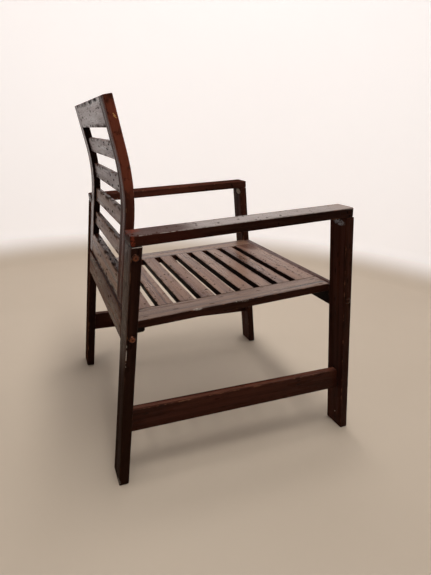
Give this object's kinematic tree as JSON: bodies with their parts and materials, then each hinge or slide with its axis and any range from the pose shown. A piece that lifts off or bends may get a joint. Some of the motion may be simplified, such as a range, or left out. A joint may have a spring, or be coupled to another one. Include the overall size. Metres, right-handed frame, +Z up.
{
  "type": "wooden armchair",
  "caption": "Slatted wooden armchair of flat stained boards, with splayed side frames, sloping armrests, a curved slatted back and a slatted seat panel.",
  "frame": {"origin": "centre of the overall bounding box at floor level", "axes": "+Z up, the sitter faces -Y, +X to the sitter's left"},
  "size_m": [0.6344, 0.6394, 0.8239],
  "materials": {
    "stained_wood": "dark brown stain, semi-gloss, worn on top faces and arrises",
    "stained_wood_red": "dark brown stain with a redder cast, semi-gloss, worn on the rear face",
    "beech_dowel": "plain fluted hardwood, unfinished",
    "bolt_bronze": "bronze-plated steel, dulled",
    "zinc_steel": "zinc-plated steel"
  },
  "bodies": {
    "root": {"armrest_dowels": "beech_dowel", "armrest_left": "stained_wood", "armrest_right": "stained_wood", "back_bottom_rail": "stained_wood", "back_slat_1": "stained_wood", "back_slat_2": "stained_wood", "back_slat_3": "stained_wood", "back_slat_4": "stained_wood", "back_stile_left": "stained_wood_red", "back_stile_right": "stained_wood_red", "back_top_rail": "stained_wood", "barrel_nuts": "zinc_steel", "bearer_screws": "zinc_steel", "bolts": "bolt_bronze", "front_cross_rail": "stained_wood", "front_leg_left": "stained_wood", "front_leg_right": "stained_wood", "rear_cross_rail": "stained_wood", "rear_leg_left": "stained_wood", "rear_leg_right": "stained_wood", "rear_seat_bearer": "stained_wood", "seat_dowels": "beech_dowel", "seat_front_slat": "stained_wood", "seat_rear_slat": "stained_wood", "seat_side_rail_left": "stained_wood", "seat_side_rail_right": "stained_wood", "seat_slat_1": "stained_wood", "seat_slat_2": "stained_wood", "seat_slat_3": "stained_wood", "seat_slat_4": "stained_wood", "seat_slat_5": "stained_wood", "seat_slat_6": "stained_wood", "seat_slat_7": "stained_wood", "side_stretcher_left": "stained_wood", "side_stretcher_right": "stained_wood", "stretcher_dowels": "beech_dowel"}
  },
  "joints": []
}
